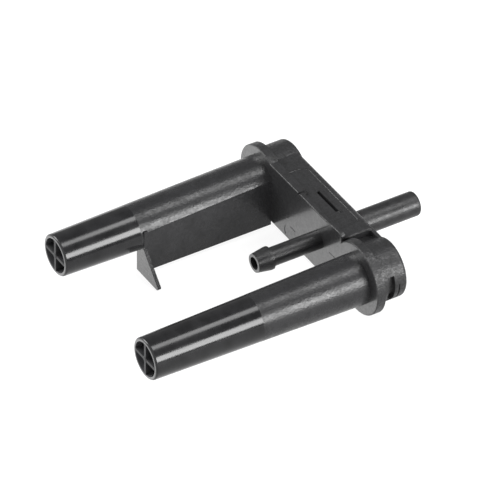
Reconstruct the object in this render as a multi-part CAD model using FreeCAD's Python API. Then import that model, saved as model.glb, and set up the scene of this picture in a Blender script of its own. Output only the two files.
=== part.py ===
import FreeCAD, Part
import os

# Outlet manifold of a cistern fill valve, in millimetres.
# Origin: middle of the header's front face, halfway between the two discharge tubes.
# +X runs along the tubes towards their open tips, +Y towards the longer (near) tube, +Z up.

# --- Overall layout ---------------------------------------------------------------------
tube_spacing = 56.0           # between the two discharge tube axes
near_tube_length = 74.3       # header face to tube tip, on the +Y side
far_tube_length = 72.8        # header face to tube tip, on the -Y side
header_depth = 12.4           # front face to rear face
service_y = 6.0               # common axis of the inlet stub and the refill barb

# --- Discharge tubes --------------------------------------------------------------------
tube_root_bore = 6.2          # bore radius at the header; it tapers evenly to the tip
tube_tip_bore = 5.65
tube_root_wall = 2.0
tube_tip_wall = 1.15
tip_outer_round = 0.7
tip_inner_round = 0.15
spigot_wall = 1.25            # tube end that plugs into the front plate

# --- Front plate ------------------------------------------------------------------------
plate_thickness = 3.0
near_flange_overhang = 2.4    # round flange beyond the boss behind it
far_flange_overhang = 2.0
plate_top = 10.0              # height of the plate's top edge above the tube axes
ridge_end_y = 19.0            # where the raised top edge stops, beside the near flange
ridge_end_height = 0.6        # extra height of the ridge at its end
ridge_end_length = 11.0       # stretch over which the ridge climbs
ridge_corner_round = 1.6
saddle_drop = 3.4             # from the plate's top down to the saddle beside the near flange
ridge_thickness = 1.5         # front-to-back size of the slim part of the ridge
ridge_nick_y = -6.0
ridge_nick_width = 0.9
ridge_nick_depth = 0.5
front_edge_round = 0.35

# --- Rear body --------------------------------------------------------------------------
seat_shoulder = 0.05          # boss bore is this much smaller than the tube's spigot
boss_wall = 2.15              # wall of the valve chamber in each boss
gallery_step = 0.75           # block that joins the bosses is this much lower than they are
gallery_edge_round = 2.2
boss_edge_round = 1.1
channel_depth = 4.4           # water channel along Y, from the back of the front plate
pocket_depth = 0.2            # sunk panel in the top of the block
pocket_floor_round = 0.15
pocket_far_y = -17.0
pocket_near_y = 14.5
pocket_rear_margin = 2.6      # band left along the rear top edge
pocket_corner_round = 2.5
slot_y = 0.85                 # middle of the blind slot in the sunk panel
slot_length = 11.2
slot_width = 0.85
slot_depth = 2.4
slot_x = -6.4
slot_lip_height = 0.3
slot_lip_width = 0.8
saddle_radius = 7.5           # smooth hollow in the block's top beside the near boss
saddle_depth = 0.6
saddle_y = 21.4               # lowest line of the hollow
pit_depth = 2.3               # steep-sided pit between the ridge's end and the near boss
pit_rear_wall = 1.9           # left standing between the pit and the header's rear face
pit_corner_round = 1.2
clip_recess_x = -6.7          # blind arc recess for a fixing clip, outboard on each boss
clip_recess_width = 2.3
clip_recess_depth = 1.5
clip_recess_low_deg = -42.0
clip_recess_high_deg = 24.0
witness_groove_x = -9.4       # fine arc groove behind the recess
witness_groove_width = 0.45
witness_groove_depth = 0.35
witness_groove_low_deg = -34.0
witness_groove_high_deg = 4.0

# --- Stiffening web and locating fin, moulded on the far tube -----------------------------
web_skin = 0.8                # tube wall left where the web's inner face runs past the bore
web_thickness = 1.2
web_length = 44.5
web_bottom = -12.75
fin_thickness = 1.2
fin_bottom = -14.4
fin_outer_offset = 2.9        # fin's upright edge from the far tube's axis
fin_reach = 9.3               # fin's low corner beyond the web's inner face
fin_peak = -3.4               # where the sloping edge leaves the web
fin_peak_inset = 0.7          # fin's peak behind the web's inner face
fin_corner_round = 0.7
fin_land_height = 0.1         # flat land above the fin, proud of the tube's side
fin_land_top = 3.0

# --- Flow straighteners in the tube mouths -------------------------------------------------
vane_thickness = 1.0
vane_length = 14.0
vane_hub_radius = 0.95
gate_mark_height = 0.2

# --- Refill barb and its restrictor ----------------------------------------------------------
barb_stem_radius = 3.0
barb_wall = 0.9
barb_ring_height = 0.75       # ring and nose above the stem
barb_nose_height = 0.05
barb_ring_x = 17.4
barb_land = 0.8
barb_length = 22.8
barb_head_step = 1.4          # head beyond the stem
barb_head_thickness = 1.6
restrictor_seat = 0.8         # restrictor's edge beyond the barb's bore
restrictor_thickness = 1.2
restrictor_orifice = 0.7

# --- Inlet stub and its strainer ---------------------------------------------------------------
stub_radius = 4.0
stub_wall = 1.1
stub_end_x = -35.2
stub_end_round = 0.9
stub_shank_step = 0.3         # stub's shank in the rear wall beyond its free end
stub_head_step = 0.4          # head beyond the shank
stub_head_thickness = 1.0
stub_head_clearance = 0.1     # head to the channel's floor and roof
strainer_inset = 0.8
strainer_rim_thickness = 0.8
strainer_length = 7.0
strainer_gap = 0.6            # between the strainer's sleeve and the stub's bore
strainer_wall = 0.4
strainer_slot_width = 0.7
strainer_slots = 8

# --- Non-return valve in each boss ---------------------------------------------------------------
cap_inset = 0.4               # cap face below the rear face of its boss
cap_length = 3.4
o_ring_section = 1.3
o_ring_side_play = 0.3
cap_core_depth = 0.8          # cored-out ring in the cap's face
cap_core_wall = 1.2           # between the cored ring and the O-ring groove
cap_core_inner = 2.0
cap_rib_thickness = 0.8
cap_rib_count = 6
seat_thickness = 1.4
seat_lip_height = 0.4
seat_lip_width = 0.6
gasket_thickness = 0.8
gasket_inset = 0.25           # gasket's edge back from the bore
poppet_gap = 0.7              # water way between the poppet and the tube's bore
poppet_thickness = 1.2
poppet_seal_inset = 0.3       # seal's edge back from the poppet's edge
poppet_seal_overlap = 0.6     # seal past the sealing lip
poppet_seal_thickness = 0.8
poppet_neck_radius = 1.5
poppet_button_radius = 2.2
poppet_button_thickness = 0.7
poppet_travel = 2.5
stem_radius = 1.2
collar_step = 0.5             # stop collar beyond the stem
collar_length = 3.6
stem_clearance = 0.06
stem_overrun = 1.6            # stem past the guide with the valve shut
guide_hub_wall = 2.0
guide_hub_length = 2.2
guide_ring_wall = 0.9
guide_spoke_thickness = 1.2
guide_spoke_count = 3
spring_wire = 0.5
spring_clearance = 0.5        # coil to the stop collar inside it
spring_turns = 5.5
spring_end_gap = 0.05

# --- Places that follow from the sizes above ------------------------------------------------------
near_y = tube_spacing / 2
far_y = -tube_spacing / 2
plate_back = -plate_thickness
header_rear = -header_depth
tube_root_radius = tube_root_bore + tube_root_wall
tube_tip_radius = tube_tip_bore + tube_tip_wall
spigot_radius = tube_root_bore + spigot_wall
boss_bore = spigot_radius - seat_shoulder
boss_radius = boss_bore + boss_wall
near_flange_radius = boss_radius + near_flange_overhang
far_flange_radius = boss_radius + far_flange_overhang
gallery_half_height = boss_radius - gallery_step
web_offset = tube_root_bore + web_skin
barb_bore = barb_stem_radius - barb_wall
barb_head_radius = barb_stem_radius + barb_head_step
restrictor_radius = barb_bore + restrictor_seat
stub_bore = stub_radius - stub_wall
stub_shank_radius = stub_radius + stub_shank_step
stub_head_radius = stub_shank_radius + stub_head_step
channel_half_height = stub_head_radius + stub_head_clearance
cap_groove_radius = boss_bore - o_ring_section
cap_core_outer = cap_groove_radius - cap_core_wall
poppet_radius = tube_root_bore - poppet_gap
poppet_seal_radius = poppet_radius - poppet_seal_inset
seat_bore = poppet_seal_radius - poppet_seal_overlap - seat_lip_width
collar_radius = stem_radius + collar_step
spring_radius = collar_radius + spring_clearance + spring_wire / 2
guide_hub_radius = stem_radius + guide_hub_wall
gasket_front = plate_back + gasket_thickness
seal_back = plate_back + seat_lip_height
poppet_back = seal_back + poppet_seal_thickness
poppet_front = poppet_back + poppet_thickness
guide_back = poppet_front + collar_length + poppet_travel
overlap = 0.5                 # how far joined lumps of one moulding run into each other

X_AXIS = FreeCAD.Vector(1, 0, 0)

os.makedirs("parts", exist_ok=True)


def rod(radius, start, end, y=0.0):
    """Round bar along X between two stations."""
    return Part.makeCylinder(radius, abs(end - start), FreeCAD.Vector(min(start, end), y, 0), X_AXIS)


def tube(outer, inner, start, end, y=0.0):
    """Plain round tube along X."""
    return rod(outer, start, end, y).cut(rod(inner, start, end, y))


def block(x_low, x_high, y_low, y_high, z_low, z_high):
    """Box between two corners."""
    corner = FreeCAD.Vector(x_low, y_low, z_low)
    return Part.makeBox(x_high - x_low, y_high - y_low, z_high - z_low, corner)


def plate(outline, x_low, x_high):
    """Flat piece whose (y, z) outline is carried along X."""
    points = [FreeCAD.Vector(x_low, y, z) for y, z in outline]
    face = Part.Face(Part.makePolygon(points + points[:1]))
    return face.extrude(X_AXIS * (x_high - x_low))


def turned(profile, y=0.0):
    """Solid of revolution about the X-wise axis at y, from (x, radius) points."""
    points = [FreeCAD.Vector(x, y, radius) for x, radius in profile]
    face = Part.Face(Part.makePolygon(points + points[:1]))
    return face.revolve(FreeCAD.Vector(0, y, 0), X_AXIS, 360)


def arc_groove(y, x_middle, width, radius, depth, low_deg, high_deg, outward):
    """Ring segment to cut from a boss; angles rise from the outboard side towards +Z."""
    low_x = x_middle - width / 2
    corners = [(low_x, radius - depth), (low_x + width, radius - depth),
               (low_x + width, radius + overlap), (low_x, radius + overlap)]
    points = [FreeCAD.Vector(x, y + outward * r, 0) for x, r in corners]
    face = Part.Face(Part.makePolygon(points + points[:1]))
    centre = FreeCAD.Vector(0, y, 0)
    face.rotate(centre, X_AXIS, outward * low_deg)
    return face.revolve(centre, X_AXIS, outward * (high_deg - low_deg))


def rounded(shape, radius, wanted):
    """Fillet every edge whose centre and ends satisfy the test wanted(edge)."""
    edges = [edge for edge in shape.Edges if wanted(edge)]
    return shape.makeFillet(radius, edges)


def is_circle(edge, x, radius):
    """True for a full or part circle about an X-wise axis, of that radius and station."""
    curve = edge.Curve
    if not isinstance(curve, Part.Circle):
        return False
    return abs(curve.Radius - radius) < 1e-4 and abs(curve.Center.x - x) < 1e-4


def is_long_y_edge(edge, x, height):
    """True for a straight edge along Y at the given station and height above or below the axis."""
    middle = edge.CenterOfMass
    straight = isinstance(edge.Curve, Part.Line)
    return straight and abs(middle.x - x) < 1e-4 and abs(abs(middle.z) - height) < 1e-4


def bore_at(x, length):
    """Bore radius of a discharge tube at a station; it tapers evenly to the tip."""
    return tube_root_bore + (tube_tip_bore - tube_root_bore) * x / length


def bore_core(start, end, length, y, shrink=0.0):
    """Solid that fills a tube's tapered bore between two stations."""
    first = bore_at(start, length) - shrink
    last = bore_at(end, length) - shrink
    return Part.makeCone(first, last, end - start, FreeCAD.Vector(start, y, 0), X_AXIS)


def discharge_tube(y, length, lump=None, flat=None):
    """Tapered tube with a spigot behind its shoulder; lump is moulded on, flat is cut away."""
    skin = Part.makeCone(tube_root_radius, tube_tip_radius, length, FreeCAD.Vector(0, y, 0), X_AXIS)
    skin = rounded(skin, tip_outer_round, lambda edge: is_circle(edge, length, tube_tip_radius))
    if lump:
        skin = skin.fuse(lump)
    if flat:
        skin = skin.cut(flat)
    body = skin.fuse(rod(spigot_radius, gasket_front, 0, y))
    body = body.cut(rod(tube_root_bore, gasket_front - overlap, 0, y))
    body = body.cut(bore_core(0, length, length, y))
    body = body.removeSplitter()
    return rounded(body, tip_inner_round, lambda edge: is_circle(edge, length, tube_tip_bore))


def web_and_fin():
    """Flat web under the far tube and the three-cornered fin across its front end."""
    inner = far_y + web_offset
    web = block(0, web_length, inner - web_thickness, inner, web_bottom, 0)
    outline = [
        (far_y + fin_outer_offset, -tube_root_radius / 2),
        (far_y + fin_outer_offset, fin_bottom),
        (inner + fin_reach, fin_bottom),
        (inner - fin_peak_inset, fin_peak),
        (inner - web_thickness, -tube_root_radius / 4),
    ]
    front = web_length + fin_thickness
    fin = plate(outline, web_length, front)
    fin = rounded(fin, fin_corner_round,
                  lambda edge: abs(edge.CenterOfMass.z - fin_bottom) < 1e-4
                  and abs(edge.BoundBox.YMin - inner - fin_reach) < 1e-4)
    side = far_y + tube_root_radius + (tube_tip_radius - tube_root_radius) * web_length / far_tube_length
    land = block(web_length, front, inner - web_thickness, side + fin_land_height,
                 fin_peak, fin_land_top)
    return web.fuse(fin).fuse(land)


def tube_flat():
    """Material taken off the far tube's side so that the web's inner face runs flush."""
    inner = far_y + web_offset
    return block(0, web_length, inner, inner + tube_root_radius, web_bottom, tube_root_radius)


def flow_straightener(y, length):
    """Cross of two vanes pressed into a tube mouth, with a round hub and a gate mark."""
    start = length - vane_length
    half = vane_thickness / 2
    reach = tube_root_radius
    upright = block(start, length, y - half, y + half, -reach, reach)
    level = block(start, length, y - reach, y + reach, -half, half)
    hub = rod(vane_hub_radius, start, length, y)
    cross = bore_core(start, length, length, y).common(upright.fuse(level).fuse(hub))
    gate = Part.makeCone(vane_hub_radius, vane_hub_radius * 0.7, gate_mark_height,
                         FreeCAD.Vector(length, y, 0), X_AXIS)
    return cross.fuse(gate).removeSplitter()


def front_plate():
    """Flat plate with a round flange about each tube and a raised ridge along its top."""
    crest = plate_top + ridge_end_height
    outline = [
        (far_y, -far_flange_radius),
        (near_y, -near_flange_radius),
        (near_y, plate_top - saddle_drop),
        (ridge_end_y, plate_top - saddle_drop),
        (ridge_end_y, crest),
        (ridge_end_y - ridge_corner_round, crest),
        (ridge_end_y - ridge_end_length, plate_top),
        (far_y, plate_top),
    ]
    body = plate(outline, plate_back, 0)
    body = rounded(body, ridge_corner_round,
                   lambda edge: abs(edge.CenterOfMass.y - ridge_end_y) < 1e-4
                   and abs(edge.CenterOfMass.z - crest) < 1e-4)
    body = body.fuse(rod(near_flange_radius, plate_back, 0, near_y))
    body = body.fuse(rod(far_flange_radius, plate_back, 0, far_y))
    body = body.removeSplitter()
    body = rounded(body, front_edge_round,
                   lambda edge: abs(edge.BoundBox.XMax) < 1e-4 and abs(edge.BoundBox.XMin) < 1e-4)
    slim_start = ridge_nick_y + ridge_nick_width
    body = body.cut(block(plate_back, -ridge_thickness, slim_start, ridge_end_y + overlap,
                          gallery_half_height, crest + overlap))
    body = body.cut(block(plate_back, overlap, ridge_nick_y, slim_start,
                          plate_top - ridge_nick_depth, crest + overlap))
    for y in (near_y, far_y):
        body = body.cut(rod(spigot_radius, plate_back, 0, y))
    body = body.cut(rod(barb_stem_radius, plate_back, 0, service_y))
    return body.cut(rod(barb_head_radius, plate_back, plate_back + barb_head_thickness, service_y))


def sunk_panel():
    """Shallow panel in the block's top, with rounded corners."""
    top = gallery_half_height
    panel = block(header_rear + pocket_rear_margin, plate_back + overlap, pocket_far_y, pocket_near_y,
                  top - pocket_depth, top + overlap)
    panel = rounded(panel, pocket_corner_round,
                    lambda edge: edge.BoundBox.ZLength > pocket_depth
                    and edge.CenterOfMass.x < plate_back)
    return rounded(panel, pocket_floor_round,
                   lambda edge: edge.BoundBox.ZMax < top - pocket_depth + 1e-4
                   and edge.CenterOfMass.x < plate_back)


def rear_body():
    """Block and two bosses, closed at the back, with the water channel open to the front plate."""
    top = gallery_half_height
    body = block(header_rear, plate_back, far_y, near_y, -top, top)
    body = rounded(body, gallery_edge_round, lambda edge: is_long_y_edge(edge, header_rear, top))
    hollow = Part.makeCylinder(saddle_radius, header_depth,
                               FreeCAD.Vector(header_rear, saddle_y, top - saddle_depth + saddle_radius),
                               X_AXIS)
    body = body.cut(hollow)
    pit = block(header_rear + pit_rear_wall, plate_back + overlap, ridge_end_y, near_y,
                top - pit_depth, top + overlap)
    pit = rounded(pit, pit_corner_round,
                  lambda edge: edge.BoundBox.ZLength > pit_depth
                  and edge.CenterOfMass.x < plate_back and edge.CenterOfMass.y < near_y - overlap)
    body = body.cut(pit)
    for y in (near_y, far_y):
        boss = rod(boss_radius, header_rear, plate_back, y)
        boss = rounded(boss, boss_edge_round, lambda edge: is_circle(edge, header_rear, boss_radius))
        body = body.fuse(boss)
    body = body.removeSplitter()

    body = body.cut(sunk_panel())
    floor = top - pocket_depth
    slot_low = slot_y - slot_length / 2
    slot_high = slot_y + slot_length / 2
    lip = block(slot_x - slot_width / 2 - slot_lip_width, slot_x - slot_width / 2,
                slot_low, slot_high + slot_lip_width, floor - overlap, floor + slot_lip_height)
    body = body.fuse(lip)
    body = body.cut(block(slot_x - slot_width / 2, slot_x + slot_width / 2, slot_low, slot_high,
                          floor - slot_depth, top + overlap))

    half_span = tube_spacing / 2
    body = body.cut(block(plate_back - channel_depth, plate_back, -half_span, half_span,
                          -channel_half_height, channel_half_height))
    for y, outward in ((near_y, 1), (far_y, -1)):
        body = body.cut(rod(boss_bore, header_rear, plate_back, y))
        body = body.cut(arc_groove(y, clip_recess_x, clip_recess_width, boss_radius, clip_recess_depth,
                                   clip_recess_low_deg, clip_recess_high_deg, outward))
        body = body.cut(arc_groove(y, witness_groove_x, witness_groove_width, boss_radius,
                                   witness_groove_depth, witness_groove_low_deg,
                                   witness_groove_high_deg, outward))
    return body.cut(rod(stub_shank_radius, header_rear, plate_back - channel_depth, service_y))


def refill_barb():
    """Hose barb held in the front plate by a head on its inner end."""
    head_front = plate_back + barb_head_thickness
    outline = [
        (plate_back, barb_bore), (plate_back, barb_head_radius), (head_front, barb_head_radius),
        (head_front, barb_stem_radius), (barb_ring_x, barb_stem_radius),
        (barb_ring_x, barb_stem_radius + barb_ring_height),
        (barb_ring_x + barb_land, barb_stem_radius + barb_ring_height),
        (barb_length, barb_stem_radius + barb_nose_height), (barb_length, barb_bore),
    ]
    body = turned(outline, service_y)
    return body.cut(rod(restrictor_radius, plate_back, plate_back + restrictor_thickness, service_y))


def inlet_stub():
    """Plain pipe stub through the block's rear wall, held by a head inside the channel."""
    head_back = plate_back - channel_depth
    body = rod(stub_radius, stub_end_x, head_back, service_y)
    body = rounded(body, stub_end_round, lambda edge: is_circle(edge, stub_end_x, stub_radius))
    body = body.fuse(rod(stub_shank_radius, header_rear, head_back, service_y))
    body = body.fuse(rod(stub_head_radius, head_back, head_back + stub_head_thickness, service_y))
    return body.cut(rod(stub_bore, stub_end_x, head_back + stub_head_thickness, service_y))


def inlet_strainer():
    """Thimble strainer in the stub's mouth: a rim, and a closed sleeve with slots along it."""
    rim_back = stub_end_x + strainer_inset
    sleeve_start = rim_back + strainer_rim_thickness
    sleeve_end = sleeve_start + strainer_length
    outside = stub_bore - strainer_gap
    inside = outside - strainer_wall
    body = rod(stub_bore, rim_back, sleeve_start, service_y)
    body = body.fuse(rod(outside, rim_back, sleeve_end, service_y))
    body = body.cut(rod(inside, rim_back, sleeve_end - strainer_wall, service_y))
    axis_point = FreeCAD.Vector(0, service_y, 0)
    for number in range(strainer_slots):
        slot = block(sleeve_start + strainer_wall, sleeve_end - 2 * strainer_wall,
                     service_y - strainer_slot_width / 2, service_y + strainer_slot_width / 2,
                     inside / 2, outside + overlap)
        slot.rotate(axis_point, X_AXIS, 360.0 * number / strainer_slots)
        body = body.cut(slot)
    return body


def end_cap(y):
    """Plug in the rear of a boss, grooved for its O-ring and cored out with ribs behind."""
    back = header_rear + cap_inset
    front = back + cap_length
    groove_width = o_ring_section + o_ring_side_play
    groove_low = (back + front - groove_width) / 2
    body = rod(boss_bore, back, front, y)
    body = body.cut(tube(boss_bore + overlap, cap_groove_radius, groove_low,
                         groove_low + groove_width, y))
    core = tube(cap_core_outer, cap_core_inner, back, back + cap_core_depth, y)
    half = cap_rib_thickness / 2
    for number in range(cap_rib_count):
        rib = block(back, back + cap_core_depth, y - half, y + half, 0, cap_core_outer + overlap)
        rib.rotate(FreeCAD.Vector(0, y, 0), X_AXIS, 360.0 * number / cap_rib_count)
        core = core.cut(rib)
    return body.cut(core)


def cap_o_ring(y):
    """O-ring that just fills the space between the cap's groove and the boss bore."""
    middle = FreeCAD.Vector(header_rear + cap_inset + cap_length / 2, y, 0)
    return Part.makeTorus(boss_bore - o_ring_section / 2, o_ring_section / 2, middle, X_AXIS)


def valve_seat(y):
    """Seat ring clamped behind the front plate, with a raised sealing lip on its front."""
    body = tube(boss_bore, seat_bore, plate_back - seat_thickness, plate_back, y)
    lip = tube(seat_bore + seat_lip_width, seat_bore, plate_back, plate_back + seat_lip_height, y)
    return body.fuse(lip).removeSplitter()


def tube_gasket(y):
    """Flat ring between the seat and the tube's spigot."""
    return tube(spigot_radius, tube_root_bore + gasket_inset, plate_back, gasket_front, y)


def poppet(y):
    """Disc with a button behind to hold its seal, and a stem in front with a stop collar."""
    button_back = seal_back - poppet_button_thickness
    collar_front = poppet_front + collar_length
    stem_front = guide_back + guide_hub_length + stem_overrun
    outline = [
        (button_back, 0), (button_back, poppet_button_radius), (seal_back, poppet_button_radius),
        (seal_back, poppet_neck_radius), (poppet_back, poppet_neck_radius),
        (poppet_back, poppet_radius), (poppet_front, poppet_radius), (poppet_front, collar_radius),
        (collar_front, collar_radius), (collar_front, stem_radius), (stem_front, stem_radius),
        (stem_front, 0),
    ]
    return turned(outline, y)


def poppet_seal(y):
    """Rubber washer on the poppet's rear face."""
    return tube(poppet_seal_radius, poppet_neck_radius, seal_back, poppet_back, y)


def return_spring(y):
    """Coil spring round the poppet's stem, between its disc and the stem guide."""
    wire = spring_wire / 2
    start = poppet_front + wire + spring_end_gap
    height = guide_back - poppet_front - spring_wire - 2 * spring_end_gap
    path = Part.makeHelix(height / spring_turns, height, spring_radius)
    section = Part.Wire(Part.makeCircle(wire, FreeCAD.Vector(spring_radius, 0, 0),
                                        FreeCAD.Vector(0, 1, 0)))
    coil = Part.Wire(path).makePipeShell([section], True, True)
    coil.rotate(FreeCAD.Vector(0, 0, 0), FreeCAD.Vector(0, 1, 0), 90)
    coil.translate(FreeCAD.Vector(start, y, 0))
    return coil


def stem_guide(y, length):
    """Spider pressed into the tube's root: a hub for the stem, spokes and an outer ring."""
    end = guide_back + guide_hub_length
    ring = bore_core(guide_back, end, length, y)
    ring = ring.cut(bore_core(guide_back, end, length, y, guide_ring_wall))
    hub = rod(guide_hub_radius, guide_back, end, y)
    body = ring.fuse(hub)
    half = guide_spoke_thickness / 2
    reach = bore_at(end, length) - guide_ring_wall / 2
    for number in range(guide_spoke_count):
        spoke = block(guide_back, end, y - half, y + half, 0, reach)
        spoke.rotate(FreeCAD.Vector(0, y, 0), X_AXIS, 360.0 * number / guide_spoke_count)
        body = body.fuse(spoke)
    body = body.cut(rod(stem_radius + stem_clearance, guide_back, end, y))
    return body.removeSplitter()


def save(name, shape):
    """Write one closed solid to its own file."""
    solids = shape.Solids
    if len(solids) != 1 or not solids[0].isValid():
        raise ValueError(f"{name}: {len(solids)} solids, valid {shape.isValid()}")
    solids[0].exportStep(f"parts/{name}.step")
    print(f"{name}: {solids[0].Volume:.1f} mm3")


def main():
    save("header_front_plate", front_plate())
    save("header_rear_body", rear_body())
    save("refill_barb", refill_barb())
    save("refill_restrictor",
         tube(restrictor_radius, restrictor_orifice, plate_back, plate_back + restrictor_thickness,
              service_y))
    save("inlet_stub", inlet_stub())
    save("inlet_strainer", inlet_strainer())
    save("near_discharge_tube", discharge_tube(near_y, near_tube_length))
    save("far_discharge_tube", discharge_tube(far_y, far_tube_length, web_and_fin(), tube_flat()))
    for side, y, length in (("near", near_y, near_tube_length), ("far", far_y, far_tube_length)):
        save(f"{side}_flow_straightener", flow_straightener(y, length))
        save(f"{side}_end_cap", end_cap(y))
        save(f"{side}_cap_o_ring", cap_o_ring(y))
        save(f"{side}_valve_seat", valve_seat(y))
        save(f"{side}_tube_gasket", tube_gasket(y))
        save(f"{side}_poppet", poppet(y))
        save(f"{side}_poppet_seal", poppet_seal(y))
        save(f"{side}_return_spring", return_spring(y))
        save(f"{side}_stem_guide", stem_guide(y, length))


main()
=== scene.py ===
import math

import bpy
import numpy as np
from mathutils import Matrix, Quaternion, Vector


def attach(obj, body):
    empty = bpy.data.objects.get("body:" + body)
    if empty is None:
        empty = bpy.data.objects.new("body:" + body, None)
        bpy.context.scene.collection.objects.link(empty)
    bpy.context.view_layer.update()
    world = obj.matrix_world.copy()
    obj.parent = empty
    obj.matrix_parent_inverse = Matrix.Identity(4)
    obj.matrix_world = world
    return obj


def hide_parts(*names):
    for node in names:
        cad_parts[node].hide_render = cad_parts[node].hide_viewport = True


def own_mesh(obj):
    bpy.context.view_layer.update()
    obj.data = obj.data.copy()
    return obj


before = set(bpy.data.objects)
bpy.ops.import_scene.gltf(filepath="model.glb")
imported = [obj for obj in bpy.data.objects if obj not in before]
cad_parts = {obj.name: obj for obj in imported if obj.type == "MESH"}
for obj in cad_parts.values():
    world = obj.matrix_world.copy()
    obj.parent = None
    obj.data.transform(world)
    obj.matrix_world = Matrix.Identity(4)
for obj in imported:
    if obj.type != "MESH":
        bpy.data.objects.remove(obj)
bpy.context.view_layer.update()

MM = 0.001

# --- Camera: where it stands round the part, and how it is held ------------------------------
CAMERA_AZIMUTH = 148.09
CAMERA_ELEVATION = 38.92
CAMERA_ROLL = 0.76
CAMERA_DISTANCE = 1.8594
CAMERA_LENS = 437.9
CAMERA_TARGET = Vector((15.77, -7.73, -7.19)) * MM

# --- Plastic finishes, shared by all the black pieces ----------------------------------------
PLASTIC_SPECULAR = 0.27
LAP_IOR = 1.7                                  # shiny skin left on +X faces by a lapped mould face
LAP_ROUGHNESS = 0.16
LAP_SMOOTHING = 0.8                            # share of the grain that the lapping takes away
POLISH_BLEND = 0.15                            # half width of the edge of a tube's polish
BORE_PAINTED_LIGHT = 3.0                                # painted light: how much paler the bore is painted than the outside

# --- Wall of light on the +X side, and the floor ---------------------------------------------
WALL_START = -0.2                              # X of the direction in which it starts to brighten
WALL_FULL = 0.3
WALL_DIM = 0.36                                # strength behind the part
WALL_BRIGHT = 1.5
FLOOR_GLOW = 0.85

# --- The part's own places, in millimetres ---------------------------------------------------
FLOOR_HEIGHT = -14.45
TUBE_Y = {"near": 28.0, "far": -28.0}
POLISH_START = {"near": 37.1, "far": 46.5}     # each tube is polished from here to its tip
BORE_RADIUS = 5.9                              # inside this radius the bore is painted paler, as painted light falling into the tube
BORE_EDGE = 0.01                               # width of the change of tone at its edge
SPRING_BACK = -0.6                             # seat on the poppet's disc
SPRING_FRONT = 5.5                             # seat on the stem guide
SPRING_RADIUS = 2.45
SPRING_WIRE = 0.5
SPRING_TURNS = 5.5
SPRING_CLOSED_TURNS = 0.9                      # dead turn at each end, its coils touching
CLOSED_PITCH = 1.02                            # rise of a dead turn, in wires
PITCH_BLEND = 0.4                              # turns over which the pitch changes
SPRING_GAP = 0.02                              # left between each end of the coil and its seat
WITNESS_RADIUS = 0.13                          # mould joint lines on the header plate's front
WITNESS_LINES = {
    "arc_witness": [(-12.9, -7.6), (-13.1, -8.6), (-12.95, -9.6), (-12.5, -10.5)],
    "core_witness": [(-9.7, -6.0), (-8.4, -6.05), (-7.1, -6.2)],
    "gate_witness": [(12.4, -0.7), (14.1, -0.65), (15.8, -0.7)],
}


def around(azimuth, elevation):
    """Unit vector towards a viewer at that azimuth and elevation, in degrees."""
    a = math.radians(azimuth)
    e = math.radians(elevation)
    return Vector((math.sin(a) * math.cos(e), -math.cos(a) * math.cos(e), math.sin(e)))


def make_camera():
    """Long-lens camera aimed at the target and rolled a little about its own axis."""
    data = bpy.data.cameras.new("camera")
    data.lens = CAMERA_LENS
    data.sensor_width = 36
    data.clip_start = 0.1
    data.clip_end = 20
    camera = bpy.data.objects.new("camera", data)
    bpy.context.scene.collection.objects.link(camera)
    back = around(CAMERA_AZIMUTH, CAMERA_ELEVATION)
    camera.location = CAMERA_TARGET + back * CAMERA_DISTANCE
    camera.rotation_mode = "QUATERNION"
    roll = Quaternion((0, 0, 1), math.radians(CAMERA_ROLL))
    camera.rotation_quaternion = (-back).to_track_quat("-Z", "Y") @ roll
    bpy.context.scene.camera = camera


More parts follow.
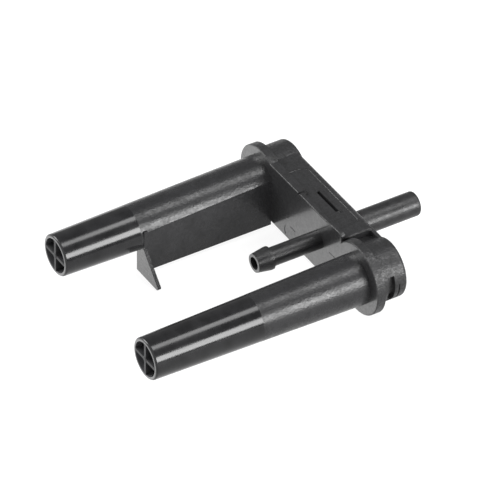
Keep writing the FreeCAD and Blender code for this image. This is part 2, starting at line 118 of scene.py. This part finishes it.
# --- Finishes --------------------------------------------------------------------------------
class Finish:
    """One material and the short ways used below to wire its nodes."""

    def __init__(self, name):
        self.material = bpy.data.materials.new(name)
        self.material.use_nodes = True
        self.tree = self.material.node_tree
        self.shader = self.tree.nodes["Principled BSDF"]
        self.place = self.tree.nodes.new("ShaderNodeTexCoord").outputs["Object"]

    def join(self, source, target):
        self.tree.links.new(source, target)

    def noise(self, cell, detail=3.0, roughness=0.55, stretch=None):
        """Cloudy pattern whose lumps are about cell millimetres across; stretch draws them out."""
        node = self.tree.nodes.new("ShaderNodeTexNoise")
        node.inputs["Scale"].default_value = 1.0 / (cell * MM)
        node.inputs["Detail"].default_value = detail
        node.inputs["Roughness"].default_value = roughness
        place = self.place
        if stretch:
            mapping = self.tree.nodes.new("ShaderNodeMapping")
            mapping.inputs["Scale"].default_value = stretch
            self.join(place, mapping.inputs["Vector"])
            place = mapping.outputs["Vector"]
        self.join(place, node.inputs["Vector"])
        return node.outputs["Fac"]

    def ramp(self, value, low, high, out_low, out_high):
        """Value between low and high carried over to out_low and out_high, and held beyond them."""
        node = self.tree.nodes.new("ShaderNodeMapRange")
        node.clamp = True
        for socket, number in zip(("From Min", "From Max", "To Min", "To Max"),
                                  (low, high, out_low, out_high)):
            node.inputs[socket].default_value = number
        self.join(value, node.inputs["Value"])
        return node.outputs["Result"]

    def math(self, operation, first, second):
        """Two values, either of them a number, put together by one operation."""
        node = self.tree.nodes.new("ShaderNodeMath")
        node.operation = operation
        for socket, value in zip(node.inputs, (first, second)):
            if isinstance(value, (int, float)):
                socket.default_value = value
            else:
                self.join(value, socket)
        return node.outputs["Value"]

    def along(self, axis):
        """Height above the origin along X, Y or Z, in metres."""
        node = self.tree.nodes.new("ShaderNodeSeparateXYZ")
        self.join(self.place, node.inputs["Vector"])
        return node.outputs[axis]

    def from_axis(self, y):
        """Distance from a line along X through that y, given in millimetres, in metres."""
        offset = self.math("SUBTRACT", self.along("Y"), y * MM)
        height = self.along("Z")
        square = self.math("ADD", self.math("MULTIPLY", offset, offset),
                           self.math("MULTIPLY", height, height))
        return self.math("POWER", square, 0.5)

    def facing_front(self):
        """1 on faces that look along +X, 0 on the others."""
        normal = self.tree.nodes.new("ShaderNodeTexCoord").outputs["Normal"]
        node = self.tree.nodes.new("ShaderNodeSeparateXYZ")
        self.join(normal, node.inputs["Vector"])
        return self.ramp(node.outputs["X"], 0.80, 0.97, 0.0, 1.0)

    def lap(self, share):
        """Shiny skin left by a lapped mould face, as strong as share says."""
        self.join(share, self.shader.inputs["Coat Weight"])
        self.shader.inputs["Coat IOR"].default_value = LAP_IOR
        self.shader.inputs["Coat Roughness"].default_value = LAP_ROUGHNESS

    def tint(self, value, dark, light):
        """Colour that runs from dark to light as the value goes from 0 to 1."""
        node = self.tree.nodes.new("ShaderNodeMix")
        node.data_type = "RGBA"
        node.clamp_factor = False
        node.inputs["A"].default_value = (*dark, 1)
        node.inputs["B"].default_value = (*light, 1)
        self.join(value, node.inputs["Factor"])
        self.join(node.outputs["Result"], self.shader.inputs["Base Color"])

    def rough(self, value):
        self.join(value, self.shader.inputs["Roughness"])

    def relief(self, height, depth):
        """Surface relief: a height of 1 stands depth millimetres above a height of 0."""
        node = self.tree.nodes.new("ShaderNodeBump")
        node.inputs["Strength"].default_value = 1.0
        node.inputs["Distance"].default_value = depth * MM
        self.join(height, node.inputs["Height"])
        self.join(node.outputs["Normal"], self.shader.inputs["Normal"])


def matt_black(name, tone=0.009, rough_low=0.30, rough_high=0.54, grain_depth=0.08):
    """Black moulded plastic with a spark-eroded grain, faint flow clouds and lapped front faces."""
    finish = Finish(name)
    clouds = finish.noise(3.0, 4.0, 0.6)
    grain = finish.noise(0.95, 2.0, 0.6)
    mottle = finish.math("ADD", finish.ramp(clouds, 0.3, 0.7, 0.0, 0.5),
                         finish.ramp(grain, 0.35, 0.68, 0.0, 0.5))
    finish.tint(mottle, (tone * 0.4, tone * 0.4, tone * 0.42),
                (tone * 2.0, tone * 2.0, tone * 2.1))
    finish.rough(finish.ramp(mottle, 0.1, 0.9, rough_high, rough_low))
    front = finish.facing_front()
    keep = finish.math("SUBTRACT", 1.0, finish.math("MULTIPLY", front, LAP_SMOOTHING))
    finish.relief(finish.math("MULTIPLY", finish.ramp(grain, 0.3, 0.75, 0.0, 1.0), keep),
                  grain_depth)
    finish.shader.inputs["Specular IOR Level"].default_value = PLASTIC_SPECULAR
    finish.lap(front)
    return finish.material


def tube_black(name, side):
    """Black plastic, polished from a ring round the tube to its tip and grained behind it; its bore
    is painted paler, as painted light inside the tube.
    """
    finish = Finish(name)
    edge = POLISH_START[side] * MM
    blend = POLISH_BLEND * MM
    polished = finish.ramp(finish.along("X"), edge - blend, edge + blend, 0.0, 1.0)
    clouds = finish.noise(6.0, 4.0)
    grain = finish.noise(0.9, 2.0, 0.6)
    streaks = finish.noise(1.6, 2.0, 0.5, (0.08, 1.0, 1.0))
    keep = finish.math("SUBTRACT", 1.0, polished)
    mottle = finish.math("ADD", finish.ramp(clouds, 0.3, 0.7, 0.0, 0.5),
                         finish.math("MULTIPLY", finish.ramp(grain, 0.35, 0.68, 0.0, 0.5), keep))
    # painted light: the bore is painted paler than the outside, standing in for light falling into
    # the tube
    painted_bore_light = finish.ramp(finish.from_axis(TUBE_Y[side]),
                       BORE_RADIUS * MM, (BORE_RADIUS + BORE_EDGE) * MM, 1.0, 0.0)
    finish.tint(finish.math("ADD", mottle, finish.math("MULTIPLY", painted_bore_light, BORE_PAINTED_LIGHT)),
                (0.004, 0.004, 0.0043), (0.018, 0.018, 0.019))
    grained = finish.ramp(mottle, 0.1, 0.9, 0.42, 0.20)
    smooth = finish.ramp(streaks, 0.35, 0.65, 0.14, 0.20)
    finish.rough(finish.math("ADD", finish.math("MULTIPLY", grained, keep),
                             finish.math("MULTIPLY", smooth, polished)))
    finish.relief(finish.math("MULTIPLY", finish.ramp(grain, 0.3, 0.75, 0.0, 1.0), keep), 0.035)
    finish.shader.inputs["Specular IOR Level"].default_value = PLASTIC_SPECULAR
    finish.lap(finish.facing_front())
    return finish.material


def satin_black(name, tone=0.009, rough_low=0.30, rough_high=0.46, lapped=True):
    """Black plastic with the uneven satin of a worn polished mould."""
    finish = Finish(name)
    clouds = finish.noise(2.4, 3.0)
    grain = finish.noise(0.8, 2.0, 0.6)
    finish.tint(finish.ramp(clouds, 0.3, 0.7, 0.0, 1.0),
                (tone * 0.8, tone * 0.8, tone * 0.84),
                (tone * 1.25, tone * 1.25, tone * 1.3))
    finish.rough(finish.ramp(clouds, 0.35, 0.65, rough_low, rough_high))
    finish.relief(finish.ramp(grain, 0.3, 0.7, 0.0, 1.0), 0.03)
    finish.shader.inputs["Specular IOR Level"].default_value = PLASTIC_SPECULAR
    if lapped:
        finish.lap(finish.facing_front())
    return finish.material


def white_acetal(name):
    """Natural acetal: milky, waxy and slightly uneven in gloss."""
    finish = Finish(name)
    clouds = finish.noise(1.8, 3.0)
    grain = finish.noise(0.2, 2.0)
    finish.tint(finish.ramp(clouds, 0.3, 0.7, 0.0, 1.0), (0.74, 0.73, 0.67), (0.83, 0.82, 0.77))
    finish.rough(finish.ramp(clouds, 0.35, 0.65, 0.32, 0.46))
    finish.relief(grain, 0.004)
    finish.shader.inputs["Subsurface Weight"].default_value = 0.12
    finish.shader.inputs["Subsurface Radius"].default_value = (0.9 * MM, 0.8 * MM, 0.6 * MM)
    return finish.material


def nitrile_rubber(name):
    """Black nitrile rubber with a dusty bloom and a very fine moulded texture."""
    finish = Finish(name)
    bloom = finish.noise(1.1, 4.0)
    grain = finish.noise(0.12, 2.0)
    finish.tint(finish.ramp(bloom, 0.35, 0.75, 0.0, 1.0),
                (0.012, 0.012, 0.012), (0.034, 0.033, 0.031))
    finish.rough(finish.ramp(bloom, 0.3, 0.7, 0.55, 0.78))
    finish.relief(grain, 0.006)
    return finish.material


def spring_steel(name):
    """Drawn stainless wire: bright, with fine lines left by the die."""
    finish = Finish(name)
    lines = finish.noise(0.09, 3.0, 0.6, (3.0, 1.0, 1.0))
    stain = finish.noise(0.9, 3.0)
    finish.tint(finish.ramp(stain, 0.3, 0.7, 0.0, 1.0), (0.50, 0.49, 0.47), (0.66, 0.66, 0.66))
    finish.rough(finish.ramp(lines, 0.3, 0.7, 0.18, 0.34))
    finish.relief(lines, 0.002)
    finish.shader.inputs["Metallic"].default_value = 1.0
    return finish.material


def floor_paint(name):
    """Opal top of a light table: it glows, with a barely visible unevenness."""
    finish = Finish(name)
    clouds = finish.noise(60.0, 3.0)
    finish.tint(finish.ramp(clouds, 0.3, 0.7, 0.0, 1.0), (0.14, 0.14, 0.14), (0.17, 0.17, 0.17))
    finish.rough(finish.ramp(clouds, 0.3, 0.7, 0.88, 0.95))
    finish.shader.inputs["Emission Color"].default_value = (1, 1, 1, 1)
    finish.shader.inputs["Emission Strength"].default_value = FLOOR_GLOW
    return finish.material


# --- New pieces ------------------------------------------------------------------------------
def grid_mesh(name, points):
    """Mesh from rings (ring, point round it, xyz) in millimetres, with a face across each end."""
    rings, sides = points.shape[:2]
    ring = np.arange(rings - 1)[:, None] * sides
    side = np.arange(sides)[None, :]
    nxt = (side + 1) % sides
    quads = np.stack([ring + side, ring + nxt, ring + sides + nxt, ring + sides + side], axis=-1)
    faces = quads.reshape(-1, 4).tolist()
    faces.append(list(range(sides - 1, -1, -1)))
    last = (rings - 1) * sides
    faces.append(list(range(last, last + sides)))
    mesh = bpy.data.meshes.new(name)
    mesh.from_pydata((points.reshape(-1, 3) * MM).tolist(), [], faces)
    mesh.update()
    mesh.shade_smooth()
    piece = bpy.data.objects.new(name, mesh)
    bpy.context.scene.collection.objects.link(piece)
    return piece


def swept(name, path, radius, sides=12):
    """Round wire along a path: at each station a circle of that radius, across the tangent."""
    tangent = np.gradient(path, axis=0)
    tangent /= np.linalg.norm(tangent, axis=1)[:, None]
    up = np.array([1.0, 0.0, 0.0])
    first = np.cross(tangent, up)
    first /= np.linalg.norm(first, axis=1)[:, None]
    second = np.cross(first, tangent)
    second /= np.linalg.norm(second, axis=1)[:, None]
    turn = np.linspace(0, 2 * np.pi, sides, endpoint=False)
    rings = (path[:, None, :]
             + radius * np.cos(turn)[None, :, None] * first[:, None, :]
             + radius * np.sin(turn)[None, :, None] * second[:, None, :])
    return grid_mesh(name, rings)


def return_spring(side):
    """Compression spring with closed ends.

    The coil's angle grows evenly. Its rise per turn is one wire in the dead turn at each end,
    and what is left of the length is shared by the live turns between them, with a smooth
    change of pitch.
    """
    wire = SPRING_WIRE
    turns = np.linspace(0, SPRING_TURNS + 2 * SPRING_CLOSED_TURNS, 360)
    total = turns[-1]
    live = (np.clip((turns - SPRING_CLOSED_TURNS) / PITCH_BLEND, 0, 1)
            * np.clip((total - SPRING_CLOSED_TURNS - turns) / PITCH_BLEND, 0, 1))
    length = SPRING_FRONT - SPRING_BACK - wire - 2 * SPRING_GAP
    closed_pitch = wire * CLOSED_PITCH
    step = np.diff(turns, prepend=0.0)
    spare = length - closed_pitch * total
    pitch = closed_pitch + live * spare / np.sum(live * step)
    x = SPRING_BACK + wire / 2 + SPRING_GAP + np.cumsum(pitch * step)
    angle = 2 * np.pi * turns
    path = np.stack([x, TUBE_Y[side] + SPRING_RADIUS * np.cos(angle),
                     SPRING_RADIUS * np.sin(angle)], axis=1)
    return swept(f"{side}_spring_coil", path, wire / 2)


def witness_line(name, corners):
    """Fine raised line left by a joint in the mould, on the front of the header plate.

    The line runs through its (y, z) corners along a Catmull-Rom curve and is half sunk in the
    plate, so its section above the face is a half circle.
    """
    knots = np.array([corners[0], *corners, corners[-1]], dtype=float)
    part = np.linspace(0, 1, 12, endpoint=False)[:, None]
    spans = []
    for a, b, c, d in zip(knots[:-3], knots[1:-2], knots[2:-1], knots[3:]):
        spans.append(0.5 * (2 * b + (c - a) * part + (2 * a - 5 * b + 4 * c - d) * part ** 2
                            + (3 * b - a - 3 * c + d) * part ** 3))
    flat = np.concatenate([*spans, knots[-1:]])
    path = np.concatenate([np.zeros((len(flat), 1)), flat], axis=1)
    return swept(name, path, WITNESS_RADIUS, 10)


# --- Lights and floor ------------------------------------------------------------------------
def softbox(name, towards, distance, width, height, radiance):
    """Rectangular lamp of even brightness, aimed at the part from that direction."""
    data = bpy.data.lights.new(name, "AREA")
    data.shape = "RECTANGLE"
    data.size = width
    data.size_y = height
    data.energy = radiance * math.pi * width * height
    lamp = bpy.data.objects.new(name, data)
    bpy.context.scene.collection.objects.link(lamp)
    direction = Vector(towards).normalized()
    lamp.location = direction * distance
    lamp.rotation_mode = "QUATERNION"
    lamp.rotation_quaternion = (-direction).to_track_quat("-Z", "Y")
    return lamp


def make_studio():
    """Glowing floor, a low softbox, an overhead strip, a soft key and a pale wall on +X."""
    half = 4.0
    z = FLOOR_HEIGHT * MM
    mesh = bpy.data.meshes.new("floor")
    mesh.from_pydata([(-half, -half, z), (half, -half, z), (half, half, z), (-half, half, z)],
                     [], [(0, 1, 2, 3)])
    floor = bpy.data.objects.new("floor", mesh)
    bpy.context.scene.collection.objects.link(floor)
    floor.data.materials.append(floor_paint("floor_paint"))
    softbox("side_softbox", (-0.40, 0.87, 0.31), 1.3, 0.85, 0.52, 23.0)
    softbox("overhead_strip", (-0.41, 0.19, 0.89), 1.3, 0.38, 0.9, 10.5)
    softbox("key_softbox", (0.44, -0.66, 0.60), 1.5, 0.9, 0.9, 12.0)
    world = bpy.data.worlds.new("studio")
    world.use_nodes = True
    tree = world.node_tree
    air = tree.nodes["Background"]
    air.inputs["Color"].default_value = (1, 1, 1, 1)
    towards = tree.nodes.new("ShaderNodeTexCoord").outputs["Generated"]
    parts = tree.nodes.new("ShaderNodeSeparateXYZ")
    tree.links.new(towards, parts.inputs["Vector"])
    wall = tree.nodes.new("ShaderNodeMapRange")
    wall.interpolation_type = "SMOOTHSTEP"
    for socket, number in zip(("From Min", "From Max", "To Min", "To Max"),
                              (WALL_START, WALL_FULL, WALL_DIM, WALL_BRIGHT)):
        wall.inputs[socket].default_value = number
    tree.links.new(parts.outputs["X"], wall.inputs["Value"])
    tree.links.new(wall.outputs["Result"], air.inputs["Strength"])
    bpy.context.scene.world = world
    bpy.context.scene.view_settings.view_transform = "Standard"


# --- Putting it together ---------------------------------------------------------------------
def finish_nodes():
    """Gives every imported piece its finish."""
    header = matt_black("header_black")
    fitting = satin_black("fitting_black")
    insert = satin_black("insert_black", 0.02, 0.38, 0.52, lapped=False)
    cap = matt_black("cap_black", 0.012, 0.36, 0.50, 0.008)
    acetal = white_acetal("valve_acetal")
    rubber = nitrile_rubber("seal_rubber")
    worn = {
        "header_front_plate": header, "header_rear_body": header,
        "refill_barb": fitting, "inlet_stub": fitting,
        "refill_restrictor": acetal, "inlet_strainer": acetal,
    }
    for side in ("near", "far"):
        worn[f"{side}_discharge_tube"] = tube_black(f"{side}_tube_black", side)
        worn[f"{side}_flow_straightener"] = insert
        worn[f"{side}_end_cap"] = cap
        for piece in ("valve_seat", "poppet", "stem_guide"):
            worn[f"{side}_{piece}"] = acetal
        for piece in ("cap_o_ring", "tube_gasket", "poppet_seal"):
            worn[f"{side}_{piece}"] = rubber
    for node, material in worn.items():
        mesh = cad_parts[node].data
        mesh.materials.clear()
        mesh.materials.append(material)


def fit_springs():
    """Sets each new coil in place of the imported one; it closes up towards its guide."""
    steel = spring_steel("spring_steel")
    for side in ("near", "far"):
        coil = return_spring(side)
        coil.data.materials.append(steel)
        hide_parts(f"{side}_return_spring")
        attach(coil, "manifold")
        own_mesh(coil)


def add_witness_lines():
    """Lays the mould's joint lines on the header plate."""
    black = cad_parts["header_front_plate"].data.materials[0]
    for name, corners in WITNESS_LINES.items():
        line = witness_line(name, corners)
        line.data.materials.append(black)
        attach(line, "manifold")


make_camera()
make_studio()
finish_nodes()
fit_springs()
add_witness_lines()
